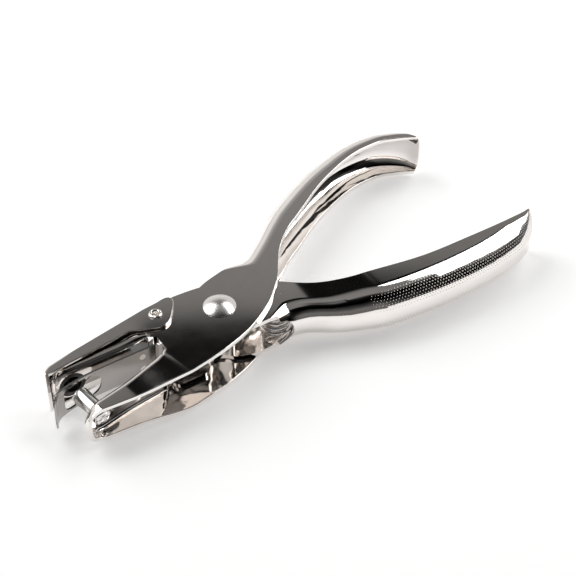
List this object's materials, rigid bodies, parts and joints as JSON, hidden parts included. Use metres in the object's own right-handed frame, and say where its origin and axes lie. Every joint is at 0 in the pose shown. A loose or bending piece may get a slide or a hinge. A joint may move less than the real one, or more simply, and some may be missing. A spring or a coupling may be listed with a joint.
{
  "type": "hole punch plier",
  "caption": "Hand-held paper punch plier lying on its side: pressed channel levers crossing at a riveted pivot, a sprung punch pin and die, a stripper plate and a swing-open chip cover.",
  "frame": {"origin": "on the pivot axis, in the flat underside of the pivot rivet's tail, which the tool rests on", "axes": "+X along the die jaw from its nose to the handles, +Y across the tool towards the punch handle, +Z along the pivot rivet, up"},
  "size_m": [0.1513, 0.0697, 0.0175],
  "materials": {
    "nickel_plate": "polished nickel plate on pressed steel",
    "bright_plate": "polished nickel plate",
    "tool_steel": "plain hardened steel"
  },
  "bodies": {
    "die_side": {"die_lever": "nickel_plate", "pivot_rivet": "bright_plate", "pivot_spacer": "tool_steel", "return_spring": "tool_steel", "die_bush": "tool_steel", "stripper": "bright_plate", "paper_stop": "tool_steel", "stripper_rivets": "bright_plate", "cover_rivet": "bright_plate"},
    "punch_side": {"punch_lever": "nickel_plate", "punch_pin": "tool_steel"},
    "cover": {"chip_cover": "bright_plate"}
  },
  "joints": [
    {"name": "lever_pivot", "type": "hinge", "parent": "die_side", "child": "punch_side", "pos_m": [0, 0, 0.0085], "axis": [0, 0, -1], "range_deg": [0, 8.3], "stiffness_Nm_per_rad": 5, "springref_deg": -5.73, "deforming": ["return_spring"]},
    {"name": "cover_hinge", "type": "hinge", "parent": "die_side", "child": "cover", "pos_m": [-0.0159, 0.007, 0.0085], "axis": [0, 0, -1], "range_deg": [0, 28]}
  ]
}
